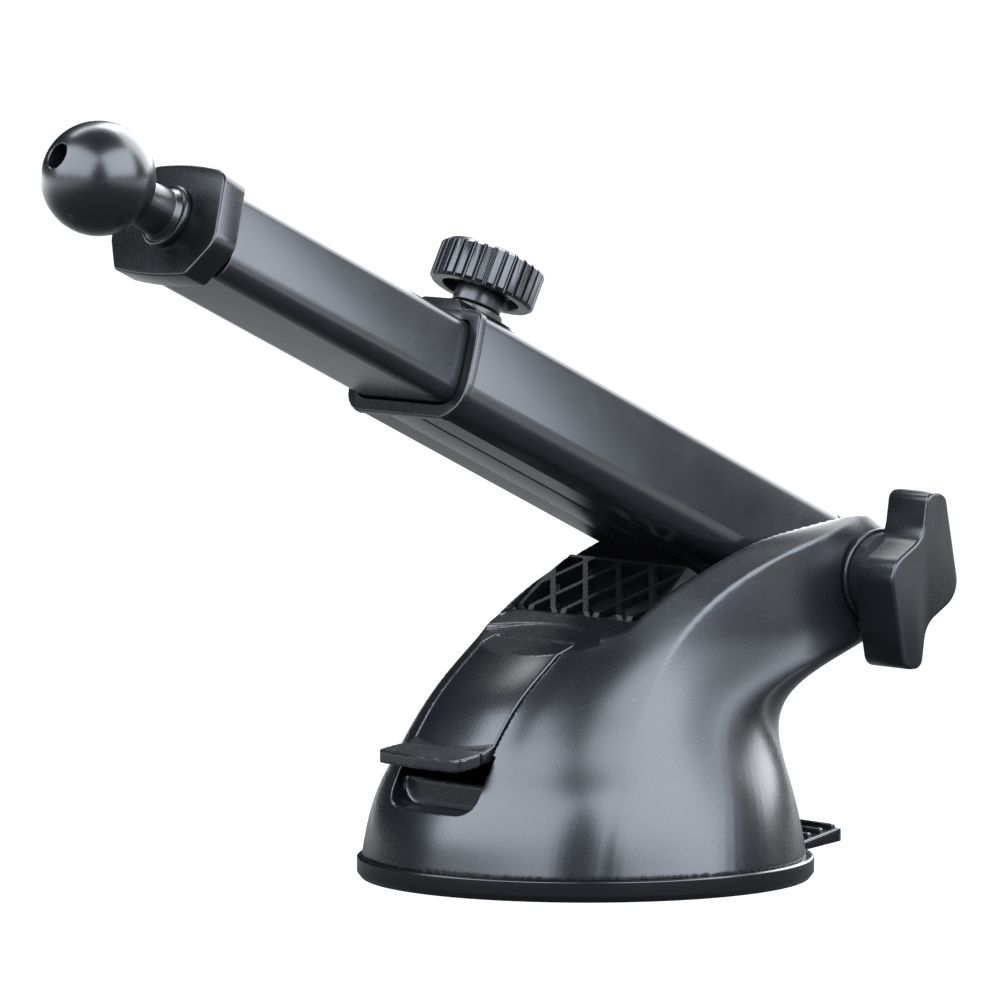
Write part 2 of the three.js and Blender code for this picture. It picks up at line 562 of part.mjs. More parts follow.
function makeCap() {
  const at = v3(0, HINGE_Y, HINGE_Z);
  const body = turned([[0, -22.8], [6.6, -22.8], [7.4, -22], [7.4, -19.3], [0, -19.3]], 40, X, at);
  return body.subtract(rod(5, -21.8, -19, 24, X, at));
}

// ---- internal frame carrying the diamond ribs ----
// The rib panel climbs from the ledge towards the hinge, and its ribs cross at right angles.
function makeRibFrame() {
  const slope = THREE.MathUtils.degToRad(37.6);
  const up = v3(0, Math.cos(slope), Math.sin(slope));
  const at = v3(0, -0.7, 39.3);
  const wide = CHANNEL_HALF - GAP;
  const long = 12.6;
  const sheet = outlinePoints([[-wide, 0], [wide, 0], [wide, long], [-wide, long]]);
  let body = prism(sheet, 1.4, X, up, at);
  const pitch = 5.7;
  const hole = 4.8;
  const step = pitch * Math.SQRT2;
  const h = (hole * Math.SQRT2) / 2;
  for (let row = 0; row < 5; row++) {
    for (let i = -3; i <= 3; i++) {
      const cx = (i + (row % 2) / 2) * step - 1.5;
      const cy = (row * step) / 2 - 0.6;
      if (Math.abs(cx) > wide - 1) continue;
      const rhomb = outlinePoints([[cx - h, cy], [cx, cy - h], [cx + h, cy], [cx, cy + h]]);
      const inside = outlinePoints([[-wide + 1, 0.4], [wide - 1, 0.4], [wide - 1, long - 0.5], [-wide + 1, long - 0.5]]);
      const cut = prism(rhomb, 4, X, up, at.clone().addScaledVector(v3(0, -Math.sin(slope), Math.cos(slope)), -1));
      const keep = prism(inside, 4, X, up, at.clone().addScaledVector(v3(0, -Math.sin(slope), Math.cos(slope)), -1));
      body = body.subtract(cut.intersect(keep));
    }
  }
  body = body.intersect(loft(LEVELS, 0.5));
  return body.intersect(box(-wide, wide, -0.9, 12, 30, 60));
}

// ---- assembly ----
const mount = new THREE.Group();
const arm = new THREE.Group();
arm.position.set(0, HINGE_Y, HINGE_Z);
arm.rotation.x = -ARM_PITCH;
mount.add(arm);

function place(group, name, body, material) {
  const mesh = new THREE.Mesh(geometryOf(body), material);
  mesh.name = name;
  group.add(mesh);
}

place(mount, "housing", makeHousing(), satin);
place(mount, "suction_cup", makeCup(), rubber);
place(mount, "base_plate", makeBasePlate(), black);
place(mount, "rib_frame", makeRibFrame(), black);
place(mount, "suction_lever", makeLever(), satin);
place(mount, "lever_pin", rod(1.25, -12.4, 12.4, 16, X, v3(0, LEVER_Y, LEVER_Z)), steel);
place(mount, "stem", makeStem(), black);
place(mount, "stem_pin", rod(1.1, -9, 9, 14, X, v3(0, 0, STEM_PIN_Z)), steel);
place(mount, "return_spring", makeSpring(), steel);
SCREWS.forEach(([x, y], i) => {
  const profile = [[0, 2.2], [2.3, 2.2], [2.3, 3.6], [1.15, 3.61], [1.15, 12], [0, 12.6]];
  place(mount, `base_screw_${i + 1}`, turned(profile, 18, Z, v3(x, y, 0)), steel);
});

const hinge = v3(0, HINGE_Y, HINGE_Z);
place(mount, "hinge_bolt", makeBolt(), steel);
place(mount, "hinge_cap", makeCap(), satin);
place(mount, "friction_washer_left", ring(3, 4.3, -15.7, -13.5, 32, X, hinge), steel);
place(mount, "friction_washer_right", ring(3, 4.3, 13.5, 15.7, 32, X, hinge), steel);
place(mount, "knob_washer", ring(2.8, 7.4, CHEEK_FACE + GAP, KNOB_BACK - GAP, 40, X, hinge), satin);
place(mount, "wing_knob", makeKnob(), satin);
place(mount, "knob_nut", rod(4.6, 20.6, 24.1, 6, X, hinge).subtract(rod(2.8, 19, 26, 20, X, hinge)), brass);

place(arm, "arm_root", makeRoot(), satin);
place(arm, "root_screw", turned([[0, -8.8], [1.3, -8.8], [1.3, -7.6], [0.8, -7.5], [0.8, -6], [0, -5.8]], 14, Z, v3(0, -15, 0)), steel);
place(arm, "outer_tube", makeOuterTube(), satin);
place(arm, "bottom_strip", box(-4, 4, -OUTER_FRONT, -20.3, -9.3, -8.7), black);
place(arm, "collar", makeCollar(), black);
const thumbAt = v3(0, -THUMB_AT, 0);
place(arm, "thumb_nut", rod(3.9, 8.35, 9.7, 6, Z, thumbAt).subtract(rod(2.7, 0, 20, 20, Z, thumbAt)), brass);
place(arm, "pressure_pad", rod(4, 6.5, 7.65, 24, Z, thumbAt), rubber);
place(arm, "thumb_screw", makeThumbScrew(), satin);
place(arm, "inner_tube", makeInnerTube(), satin);
place(arm, "inner_plug", makePlug(), black);
place(arm, "end_plate", makeEndPlate(), black);
place(arm, "ball_stud", makeBallStud(), satin);

export default mount;
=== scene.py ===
"""Looks of the telescopic car phone mount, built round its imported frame.

Shapes are made in millimetres in the row frame and scaled to metres as they are finished.
The base centre is on the ground at the origin, the arm leans towards -Y, and the hinge lies along X.
"""

import math

import bmesh
import bpy
import numpy as np
from mathutils import Matrix, Vector


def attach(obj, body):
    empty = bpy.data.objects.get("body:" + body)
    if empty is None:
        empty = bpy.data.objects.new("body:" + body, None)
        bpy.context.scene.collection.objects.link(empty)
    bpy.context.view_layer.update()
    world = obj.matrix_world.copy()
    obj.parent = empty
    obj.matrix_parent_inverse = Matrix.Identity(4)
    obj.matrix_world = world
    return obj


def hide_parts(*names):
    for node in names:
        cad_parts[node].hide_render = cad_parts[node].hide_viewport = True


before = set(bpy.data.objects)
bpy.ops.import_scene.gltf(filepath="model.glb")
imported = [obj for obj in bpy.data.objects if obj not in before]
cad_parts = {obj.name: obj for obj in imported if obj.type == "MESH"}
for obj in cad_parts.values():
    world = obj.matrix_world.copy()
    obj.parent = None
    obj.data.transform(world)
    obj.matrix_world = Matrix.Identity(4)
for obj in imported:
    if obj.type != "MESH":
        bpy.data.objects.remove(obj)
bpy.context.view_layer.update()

MM = 0.001

# ---- driving dimensions, as in the frame ----
GAP = 0.3
BALL_R = 8.5
BALL_HOLE_R = 2.0
NECK_R = 3.75
ARM_PITCH = math.radians(25.75)
HINGE_Y = 42.4
HINGE_Z = 45.2
REACH = 148.6
PLATE_FRONT = REACH - 14.2
PLATE_REAR = REACH - 18.5
INNER_FRONT = REACH - 18.8
INNER_REAR = REACH - 95
OUTER_FRONT = REACH - 67
OUTER_REAR = 4.5
COLLAR_FRONT = REACH - 65.7
THUMB_AT = REACH - 72.5
THUMB_R = 8.3
THUMB_LOW = 13.1
THUMB_HIGH = 19.7
THUMB_NECK = 3.85
THUMB_RIBS = 30
CUP_R = 35.1
CUP_TOP = 3.3
CORE_R = 12.9
CAVITY_TOP = 28.7
FOOT = 3.25
LEDGE_ARCH = 4.5
WALL = 2.4
CHANNEL_HALF = 16
CHEEK_FACE = 19
LEVER_HALF = 9.5
LIP_HALF = 10.2
LEVER_Y = -9.5
LEVER_Z = 31
LEVER_HUB_R = 4
WINDOW_LOW = 12.2
POCKET_BACK = -26.6
POCKET_TOP = 16.4
KNOB_BACK = 20.2
KNOB_FACE = 30.4
SCREWS = ((0, 25), (-21, -10), (21, -10))
RIB_SLOPE = math.radians(37.6)
RIB_PITCH = 5.7
RIB_HOLE = 4.8
SWELL_HIGH = 0.25
SWELL_LOW = 1.5
SWELL_STEPS = 6
ROOT_HALF = 13.2
BOSS_R = 4.5

# ---- camera, as azimuth, elevation, distance and lens ----
CAM_AZIMUTH = math.radians(52.0)
CAM_ELEVATION = math.radians(4.63)
CAM_DISTANCE = 1.48306
CAM_RIGHT = -0.01312
CAM_UP = 0.05766
CAM_LENS = 347.77

X = Vector((1, 0, 0))
Y = Vector((0, 1, 0))
Z = Vector((0, 0, 1))
HINGE = Vector((0, HINGE_Y, HINGE_Z))
ARM_OUT = Vector((0, -math.cos(ARM_PITCH), math.sin(ARM_PITCH)))
ARM_UP = Vector((0, math.sin(ARM_PITCH), math.cos(ARM_PITCH)))


# ---- camera ----
def camera_axes():
    a, e = CAM_AZIMUTH, CAM_ELEVATION
    back = Vector((math.sin(a) * math.cos(e), -math.cos(a) * math.cos(e), math.sin(e)))
    right = Vector((math.cos(a), math.sin(a), 0))
    return right, back.cross(right), back


def make_camera():
    right, up, back = camera_axes()
    data = bpy.data.cameras.new("camera")
    data.lens = CAM_LENS
    data.sensor_width = 36
    data.clip_start = 0.05
    data.clip_end = 60
    cam = bpy.data.objects.new("camera", data)
    bpy.context.scene.collection.objects.link(cam)
    turn = Matrix((right, up, back)).transposed().to_4x4()
    cam.matrix_world = Matrix.Translation(right * CAM_RIGHT + up * CAM_UP + back * CAM_DISTANCE) @ turn
    bpy.context.scene.camera = cam


make_camera()


# ---- shape helpers ----
def made(name, verts, faces):
    """A closed mesh object in millimetres, with its faces turned outwards."""
    mesh = bpy.data.meshes.new(name)
    mesh.from_pydata([tuple(v) for v in verts], [], faces)
    bm = bmesh.new()
    bm.from_mesh(mesh)
    bmesh.ops.remove_doubles(bm, verts=bm.verts, dist=1e-5)
    bmesh.ops.recalc_face_normals(bm, faces=bm.faces)
    if bm.calc_volume() < 0:
        bmesh.ops.reverse_faces(bm, faces=bm.faces)
    bm.to_mesh(mesh)
    bm.free()
    obj = bpy.data.objects.new(name, mesh)
    bpy.context.scene.collection.objects.link(obj)
    return obj


def baked(obj):
    """obj with its modifiers turned into its mesh."""
    graph = bpy.context.evaluated_depsgraph_get()
    graph.update()
    mesh = bpy.data.meshes.new_from_object(obj.evaluated_get(graph))
    obj.modifiers.clear()
    old = obj.data
    obj.data = mesh
    bpy.data.meshes.remove(old)
    return obj


def combined(obj, tool, operation):
    mod = obj.modifiers.new("cut", "BOOLEAN")
    mod.operation = operation
    mod.solver = "MANIFOLD"
    mod.object = tool
    baked(obj)
    data = tool.data
    bpy.data.objects.remove(tool)
    bpy.data.meshes.remove(data)
    return obj


def cut(obj, *tools):
    for tool in tools:
        combined(obj, tool, "DIFFERENCE")
    return obj


def joined(obj, *tools):
    for tool in tools:
        combined(obj, tool, "UNION")
    return obj


def kept(obj, *tools):
    for tool in tools:
        combined(obj, tool, "INTERSECT")
    return obj


def copied(obj):
    twin = bpy.data.objects.new(obj.name + "_copy", obj.data.copy())
    bpy.context.scene.collection.objects.link(twin)
    return twin


def softened(obj, voxel, rounds, factor=0.5):
    """obj as one even mesh whose edges are rounded by about a voxel, as moulded plastic is."""
    mod = obj.modifiers.new("even", "REMESH")
    mod.mode = "VOXEL"
    mod.voxel_size = voxel
    mod = obj.modifiers.new("soft", "SMOOTH")
    mod.factor = factor
    mod.iterations = rounds
    return baked(obj)


def finished(obj, body, nodes, material, sharp=35):
    """Scales obj to metres, shades it, and makes it ride on its body in place of its CAD nodes."""
    mesh = obj.data
    mesh.transform(Matrix.Scale(MM, 4))
    mesh.polygons.foreach_set("use_smooth", [True] * len(mesh.polygons))
    if sharp:
        mesh.set_sharp_from_angle(angle=math.radians(sharp))
    mesh.materials.clear()
    mesh.materials.append(material)
    mesh.update()
    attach(obj, body)
    if nodes:
        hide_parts(*nodes)
    return obj


def rounded(corners, steps=6, closed=True):
    """An outline whose corners are rounded. Corners are (x, y, radius)."""
    out = []
    n = len(corners)
    for i, (x, y, r) in enumerate(corners):
        ends = not closed and i in (0, n - 1)
        if not r or ends:
            out.append((x, y))
            continue
        here = Vector((x, y))
        before = (Vector(corners[i - 1][:2]) - here).normalized()
        after = (Vector(corners[(i + 1) % n][:2]) - here).normalized()
        half = math.acos(max(-1, min(1, before.dot(after)))) / 2
        reach = r / math.tan(half)
        a = here + before * reach
        b = here + after * reach
        centre = here + (before + after).normalized() * (r / math.sin(half))
        start = math.atan2(a.y - centre.y, a.x - centre.x)
        turn = math.atan2(b.y - centre.y, b.x - centre.x) - start
        turn -= 2 * math.pi * round(turn / (2 * math.pi))
        for k in range(steps + 1):
            w = start + turn * k / steps
            out.append((centre.x + r * math.cos(w), centre.y + r * math.sin(w)))
    return out


def shrunk(outline, inset):
    """An outline moved inwards by inset. The outline runs anticlockwise."""
    p = np.array(outline, float)
    edge = np.roll(p, -1, 0) - p
    edge /= np.maximum(np.linalg.norm(edge, axis=1, keepdims=True), 1e-9)
    inward = np.stack([-edge[:, 1], edge[:, 0]], 1)
    before = np.roll(inward, 1, 0)
    scale = 1 + np.sum(before * inward, 1, keepdims=True)
    return p + (before + inward) / np.maximum(scale, 0.4) * inset


def anticlockwise(outline):
    p = np.array(outline, float)
    q = np.roll(p, -1, 0)
    area = np.sum(p[:, 0] * q[:, 1] - q[:, 0] * p[:, 1])
    return [tuple(v) for v in (p if area > 0 else p[::-1])]


def ring_faces(count, rings):
    """The ends and sides of a body that runs through rings of count points each."""
    faces = [list(range(count)), list(range((rings - 1) * count, rings * count))]
    for k in range(rings - 1):
        for i in range(count):
            j = (i + 1) % count
            faces.append((k * count + i, k * count + j, (k + 1) * count + j, (k + 1) * count + i))
    return faces


def prism(name, outline, d0, d1, first, second, at, rims=(0, 0), steps=4):
    """A prism of an outline, from d0 to d1 along the normal, with rims of the given radii at its two ends."""
    outline = anticlockwise(outline)
    third = first.cross(second)
    rings = []
    for k in range(steps + 1 if rims[0] else 1):
        w = math.pi / 2 * k / steps if rims[0] else math.pi / 2
        rings.append((d0 + rims[0] * (1 - math.cos(w)), rims[0] * (1 - math.sin(w))))
    for k in range(steps + 1 if rims[1] else 1):
        w = math.pi / 2 * (1 - k / steps) if rims[1] else math.pi / 2
        rings.append((d1 - rims[1] * (1 - math.cos(w)), rims[1] * (1 - math.sin(w))))
    verts = []
    for depth, inset in rings:
        for a, b in shrunk(outline, inset):
            verts.append(at + first * a + second * b + third * depth)
    return made(name, verts, ring_faces(len(outline), len(rings)))


ORIGIN = Vector((0, 0, 0))


def along_x(outline, x0, x1, name="x", **more):
    return prism(name, outline, x0, x1, Y, Z, ORIGIN, **more)


def along_z(outline, z0, z1, name="z", **more):
    return prism(name, outline, z0, z1, X, Y, ORIGIN, **more)


def along_arm(outline, s0, s1, name="arm", **more):
    """The outline lies in X and the arm's up axis, and the prism runs from s0 to s1 towards the ball."""
    return prism(name, outline, s0, s1, X, ARM_UP, HINGE, **more)


def block(x0, x1, y0, y1, z0, z1):
    return along_z([(x0, y0), (x1, y0), (x1, y1), (x0, y1)], z0, z1)


def arm_block(x0, x1, s0, s1, n0, n1):
    return along_arm([(x0, n0), (x1, n0), (x1, n1), (x0, n1)], s0, s1)


def turned(name, profile, sides, axis, at):
    """A turned body. Profile points are (radius, height) along the axis from at."""
    side = axis.orthogonal().normalized()
    other = axis.cross(side)
    verts, rings = [], []
    for r, h in profile:
        if r < 1e-6:
            rings.append([len(verts)])
            verts.append(at + axis * h)
            continue
        ring = []
        for i in range(sides):
            w = 2 * math.pi * i / sides
            ring.append(len(verts))
            verts.append(at + axis * h + side * (r * math.cos(w)) + other * (r * math.sin(w)))
        rings.append(ring)
    closed = len(rings[0]) > 1
    faces = []
    for k in range(len(rings) if closed else len(rings) - 1):
        a, b = rings[k], rings[(k + 1) % len(rings)]
        for i in range(sides):
            j = (i + 1) % sides
            quad = [a[i % len(a)], a[j % len(a)], b[j % len(b)], b[i % len(b)]]
            face = list(dict.fromkeys(quad))
            if len(face) > 2:
                faces.append(face)
    return made(name, verts, faces)


def rod(r, h0, h1, axis, at, sides=64):
    return turned("rod", [(0, h0), (r, h0), (r, h1), (0, h1)], sides, axis, at)


def arm_at(s, n=0.0, x=0.0):
    return HINGE + ARM_OUT * s + ARM_UP * n + X * x


# ---- housing surface ----
# height, front apex, shoulder crease (x, y), the directions of the surface as it reaches and leaves the
# crease, widest point (x, y), rear apex, fullness of the front and squareness of the rear
LEVELS = np.array([
    (FOOT, -33.9, 28, -19.2, 62, 56, 33.9, 0, 33.9, -0.15, 0.552),
    (9, -32.9, 27.7, -17.9, 62, 58, 32.5, 1, 32.9, -0.1, 0.552),
    (15, -30.6, 26.8, -15.6, 63, 60, 30.3, 3, 31.0, 0.15, 0.56),
    (19, -28.6, 25.5, -12.8, 64, 63, 27.9, 4, 29.8, 0.4, 0.57),
    (22, -27.0, 24.7, -11, 65, 66, 26.2, 5, 29.1, 0.62, 0.58),
    (25, -24.9, 23.9, -9.1, 66, 70, 24.9, 6, 28.6, 0.8, 0.63),
    (27, -23.6, 23.3, -7.6, 66, 73, 24.1, 7, 29.0, 0.9, 0.68),
    (29.7, -21.2, 22.6, -5.6, 67, 79, 22.9, 8, 30.5, 0.97, 0.77),
    (31.4, -19.4, 22.2, -4.2, 67, 84, 22.1, 12, 32.2, 1, 0.84),
    (33, -17.5, 21.8, -2.9, 68, 90, 21, 22, 37, 1, 0.9),
    (34.4, -15.8, 21.5, -1.7, 68, 92, 20.1, 30, 41.6, 1, 0.94),
    (35.6, -14.3, 21.2, -0.7, 68, 92, 19.5, 36, 47.6, 1, 0.96),
    (37, -12.9, 20.9, 0.8, 68, 92, 19.1, 38, 50.6, 1, 0.96),
    (40, -12.6, 20.3, 4.4, 66, 91, 19, 40, 53, 1, 0.96),
    (43.4, -11.3, 19.7, 9.5, 66, 91, 19, 41, 53.6, 1, 0.96),
    (46, -9.3, 19.3, 14.4, 68, 90, 19, 41, 53.6, 1, 0.96),
    (48.4, -3.3, 19, 20.2, 71, 90, 19, 41, 52.9, 1, 0.96),
    (50.9, 0.3, 19, 27.8, 75, 90, 19, 41, 51.4, 1, 0.96),
    (52.6, 4.8, 19, 36.5, 79, 90, 19, 41, 49.3, 1, 0.96),
    (53.8, 21.1, 17.8, 38.5, 84, 90, 17.8, 41, 47, 1, 0.94),
    (54.5, 34.3, 16.5, 40, 86, 90, 16.5, 41, 44.8, 1, 0.9),
])


def smooth_columns(table, at):
    """The rows of a table at the heights `at`, by a smooth curve that never overshoots its rows."""
    x = table[:, 0]
    h = np.diff(x)
    out = [at]
    for y in table[:, 1:].T:
        d = np.diff(y) / h
        m = np.zeros(len(x))
        for i in range(1, len(x) - 1):
            if d[i - 1] * d[i] > 0:
                w0 = 2 * h[i] + h[i - 1]
                w1 = h[i] + 2 * h[i - 1]
                m[i] = (w0 + w1) / (w0 / d[i - 1] + w1 / d[i])
        m[0], m[-1] = d[0], d[-1]
        k = np.clip(np.searchsorted(x, at, side="right") - 1, 0, len(h) - 1)
        t = (at - x[k]) / h[k]
        out.append(
            y[k] * (1 + 2 * t) * (1 - t) ** 2 + m[k] * h[k] * t * (1 - t) ** 2
            + y[k + 1] * t * t * (3 - 2 * t) + m[k + 1] * h[k] * t * t * (t - 1)
        )
    return np.stack(out, 1)


def bezier(a, b, c, d, steps):
    t = (np.arange(steps) / steps)[:, None]
    u = 1 - t
    a, b, c, d = (np.array(p, float) for p in (a, b, c, d))
    return u**3 * a + 3 * u * u * t * b + 3 * u * t * t * c + t**3 * d


def level_outline(row, inset, fine):
    _, front, xc, yc, ain, aout, w, yw, rear, full, square = row
    f = (0, front + inset)
    c = (xc - inset * 0.8, yc + inset * 0.3)
    w = (w - inset, max(yw, c[1] + 1))
    r = (0, rear - inset)
    span = math.hypot(c[0] - f[0], c[1] - f[1]) * (0.36 + 0.06 * full)
    ain, aout = math.radians(ain), math.radians(aout)
    side = math.hypot(w[0] - c[0], w[1] - c[1]) * 0.34
    near = (c[0] - span * math.cos(ain), c[1] - span * math.sin(ain))
    leaving = (c[0] + side * math.cos(aout), c[1] + side * math.sin(aout))
    half = np.concatenate([
        bezier(f, ((0.41 + 0.15 * full) * c[0], f[1]), near, c, 16 * fine),
        bezier(c, leaving, (w[0], w[1] - side), w, 7 * fine),
        bezier(w, (w[0], w[1] + square * (r[1] - w[1])), (square * w[0], r[1]), r, 14 * fine),
        [r],
    ])
    left = half[1:-1][::-1] * (-1, 1)
    return np.concatenate([half, left])


def loft(table, inset, name="loft", fine=1):
    rings = [level_outline(row, inset, fine) for row in table]
    verts = [(x, y, row[0]) for ring, row in zip(rings, table) for x, y in ring]
    return made(name, verts, ring_faces(len(rings[0]), len(rings)))


def eased(table, reaches):
    """The table with each column averaged over about its reach in height, so no level shows as a band."""
    step = table[1, 0] - table[0, 0]
    out = table.copy()
    for c, reach in enumerate(reaches, 1):
        n = int(3 * reach / step)
        weight = np.exp(-0.5 * (np.arange(-n, n + 1) * step / reach) ** 2)
        weight /= weight.sum()
        y = table[:, c]
        below = 2 * y[0] - y[1:n + 1][::-1]
        above = 2 * y[-1] - y[-n - 1:-1][::-1]
        out[:, c] = np.convolve(np.concatenate([below, y, above]), weight, "valid")
    return out


EASE = (1.4, 1.6, 2.2, 3.5, 3.5, 3, 3.5, 3, 3.5, 3.5)
FINE_LEVELS = eased(smooth_columns(LEVELS, np.linspace(FOOT, LEVELS[-1, 0], 130)), EASE)
shell_shape = loft(FINE_LEVELS, 0, "shell", 2)


def shell():
    return copied(shell_shape)


def cavity():
    low = smooth_columns(LEVELS, np.linspace(LEVELS[0, 0], CAVITY_TOP, 30))
    low[0, 0] = 2
    return loft(low, WALL)


def channel():
    """What the arm's channel, the scoop and the ledge remove. The ledge's front edge is arched."""
    verts = []
    slices = 32
    for k in range(slices + 1):
        x = CHANNEL_HALF * (2 * k / slices - 1)
        back = LEDGE_ARCH * (1 - (x / CHANNEL_HALF) ** 2)
        y = -9.6 + back
        z = 37.0 + 0.4 * back
        outline = rounded([
            (-30, 30.2, 0), (-12.8, 35.8, 0), (y, z, 0.3), (y + 0.3, 37.9 + 0.284 * back, 0.3),
            (-1.2, 40.2, 0.3), (-1.2, 33, 0), (26, 33, 2), (30, 31.5, 2), (80, 31.5, 0), (80, 80, 0),
            (-30, 80, 0),
        ])
        verts += [(x, a, b) for a, b in outline]
    return made("channel", verts, ring_faces(len(outline), slices + 1))


# ---- suction base ----
def make_housing():
    half = LEVER_HALF + GAP
    body = cut(shell(), cavity())
    joined(body, kept(block(-12, 12, -34, POCKET_BACK + 1.4, WINDOW_LOW - 1.8, POCKET_TOP), shell()))
    for x, y in SCREWS:
        joined(body, kept(rod(3.2, 6, 16, Z, Vector((x, y, 0))), shell()))
        cut(body, rod(1.4, 0, 14, Z, Vector((x, y, 0))))
    corners = [(-10.5, WINDOW_LOW, 3), (10.5, WINDOW_LOW, 3), (10.5, 20.9, 0.6), (-10.5, 20.9, 0.6)]
    window = prism("window", rounded(corners), 0, 24, X, Z, Vector((0, POCKET_BACK, 0)))
    hub = Vector((0, LEVER_Y, LEVER_Z))
    cut(
        body, channel(), window,
        block(-half, half, -40, -20, POCKET_TOP, 21), block(-10.5, 10.5, -40, -25.4, POCKET_TOP, 20.9),
        block(-half, half, -40, LEVER_Y + 8, 20.8, LEVER_Z),
        block(-half, half, -40, LEVER_Y, LEVER_Z - 1, 38),
        rod(LEVER_HUB_R + GAP, -half, half, X, hub),
        rod(2.8, -22, 22, X, HINGE), rod(8.2, CHEEK_FACE, 22, X, HINGE), rod(8.2, -22, -CHEEK_FACE, X, HINGE),
    )
    body.name = "base_shell"
    return softened(body, 0.25, 8)



def make_lever():
    inner = loft(smooth_columns(LEVELS, np.linspace(12, LEVELS[-1, 0], 80)), 2, fine=2)
    panel = kept(cut(shell(), inner), block(-LEVER_HALF, LEVER_HALF, -40, LEVER_Y - 0.2, 21.2, 36))
    hub = Vector((0, LEVER_Y, LEVER_Z))
    wide = LIP_HALF
    plan = rounded([
        (-LEVER_HALF, -24, 0), (-LEVER_HALF, -27.6, 0.8), (-wide, -28.4, 0.8), (-wide, -32.5, 1.3),
        (0, -33.1, 0), (wide, -32.5, 1.3), (wide, -28.4, 0.8), (LEVER_HALF, -27.6, 0.8),
        (LEVER_HALF, -24, 0),
    ])
    side = rounded([
        (-35, 20.35, 0), (-35, 18.3, 0), (-24, 20.3, 0), (-22.5, 22.0, 0), (-25.6, 22.4, 0),
        (-27.2, 21.6, 0.9),
    ])
    lip = kept(along_z(plan, 15, 25), along_x(side, -wide, wide))
    head = kept(along_x([(-20, 30), (-9.7, 30), (-9.7, 37), (-20, 37)], -LEVER_HALF, LEVER_HALF), shell())
    body = joined(panel, rod(LEVER_HUB_R, -LEVER_HALF, LEVER_HALF, X, hub), lip, head)
    core = loft(smooth_columns(LEVELS, np.linspace(8, 46, 60)), 1)
    arm_side = [
        (-28, 22.4), (-28, 34), (-9.5, 34), (-7.5, 29.6), (-3, 26), (5, 21.6), (5, 17.4), (-5.5, 17.4),
        (-13, 22.4),
    ]
    slot = rounded([(-4.4, 18.6, 1.35), (1.7, 18.6, 1.35), (1.7, 21.4, 1.35), (-4.4, 21.4, 1.35)])
    for x in (-8.4, 6.4):
        arm = kept(along_x(arm_side, x, x + 2), copied(core))
        joined(body, cut(arm, along_x(slot, x - 1, x + 3)))
    bpy.data.objects.remove(core)
    cut(body, channel(), rod(1.55, -12, 12, X, hub))
    body.name = "press_lever"
    return softened(body, 0.2, 5)


def make_cup():
    profile = rounded([
        (CORE_R + GAP, 0, 0), (CUP_R - 0.7, 0, 0.3), (CUP_R, 0.9, 0.4), (CUP_R, CUP_TOP - 0.15, 0.2),
        (CUP_R - 0.35, CUP_TOP, 0.15), (31.2, CUP_TOP, 0.2), (30.4, 1.8, 0.3), (CORE_R + GAP, 1.6, 0.2),
    ])
    body = turned("suction_ring", profile, 256, Z, ORIGIN)
    side = rounded([
        (33.2, 1.8, 0), (37, 1.9, 2), (44.8, 2.9, 0.3), (45.1, 3.3, 0.2), (44.7, 4.9, 0.3), (44, 4.9, 0.2),
        (36, 3.1, 3), (33.2, 3.1, 0),
    ])
    plan = rounded([(-8, 33, 0), (8, 33, 0), (8, 45.4, 1.8), (-8, 45.4, 1.8)])
    joined(body, kept(along_z(plan, 0, 8), along_x(side, -8, 8, rims=(0.3, 0.3))))
    for i in range(3):
        y = 38.6 + 2.4 * i
        z = 3.3 + 0.55 * i
        rib = rounded([(y, z, 0), (y + 1, z, 0), (y + 1, z + 1.1, 0.4), (y, z + 1.1, 0.4)])
        joined(body, along_x(rib, -6.8, 6.8, rims=(0.3, 0.3)))
    return body


def make_rib_frame():
    slope = RIB_SLOPE
    up = Vector((0, math.cos(slope), math.sin(slope)))
    out = Vector((0, -math.sin(slope), math.cos(slope)))
    at = Vector((0, -0.7, 39.3))
    wide = CHANNEL_HALF - GAP
    long = 12.6
    body = prism("ribs", [(-wide, 0), (wide, 0), (wide, long), (-wide, long)], 0, 1.4, X, up, at)
    step = RIB_PITCH * math.sqrt(2)
    h = RIB_HOLE * math.sqrt(2) / 2
    inside = [(-wide + 1, 0.35), (wide - 1, 0.35), (wide - 1, long - 0.5), (-wide + 1, long - 0.5)]
    for row in range(5):
        for i in range(-3, 4):
            cx = (i + (row % 2) / 2) * step - 1.5
            cy = row * step / 2 - 0.6
            if abs(cx) > wide - 1:
                continue
            rhomb = [(cx - h, cy), (cx, cy - h), (cx + h, cy), (cx, cy + h)]
            hole = prism("hole", rhomb, 0, 4, X, up, at - out)
            cut(body, kept(hole, prism("keep", inside, 0, 4, X, up, at - out)))
    return kept(body, loft(FINE_LEVELS, 0.5), block(-wide, wide, -0.9, 12, 30, 60))


# ---- arm ----
def bowed(a, b, rise, steps):
    """The points between two ends of a line that is bowed to its left by rise."""
    way = Vector((b[0] - a[0], b[1] - a[1]))
    out = []
    for i in range(1, steps):
        t = i / steps
        lift = rise * 4 * t * (1 - t) / way.length
        out.append((a[0] + way.x * t - way.y * lift, a[1] + way.y * t + way.x * lift, 0))
    return out


def tube_outline(top, top_half, crease, crease_half, low, low_half, radii):
    """Flat above and below, with sides that swell a little on both sides of a crease."""
    a, b, c = radii
    high, mid, foot = (-top_half, top), (-crease_half, crease), (-low_half, low)
    upper = bowed(mid, high, SWELL_HIGH, SWELL_STEPS)[::-1]
    lower = bowed(foot, mid, SWELL_LOW, SWELL_STEPS)[::-1]
    left = [(*high, a)] + upper + [(*mid, b)] + lower + [(*foot, c)]
    return rounded(left + [(-x, y, r) for x, y, r in left[::-1]], 6)


def outer_outline(grow=0.0, radii=(2.2, 0.5, 0.6)):
    return tube_outline(8 + grow, 10.7 + grow, -3.5, 13.9 + grow, -9.2 - grow, 10.4 + grow, radii)


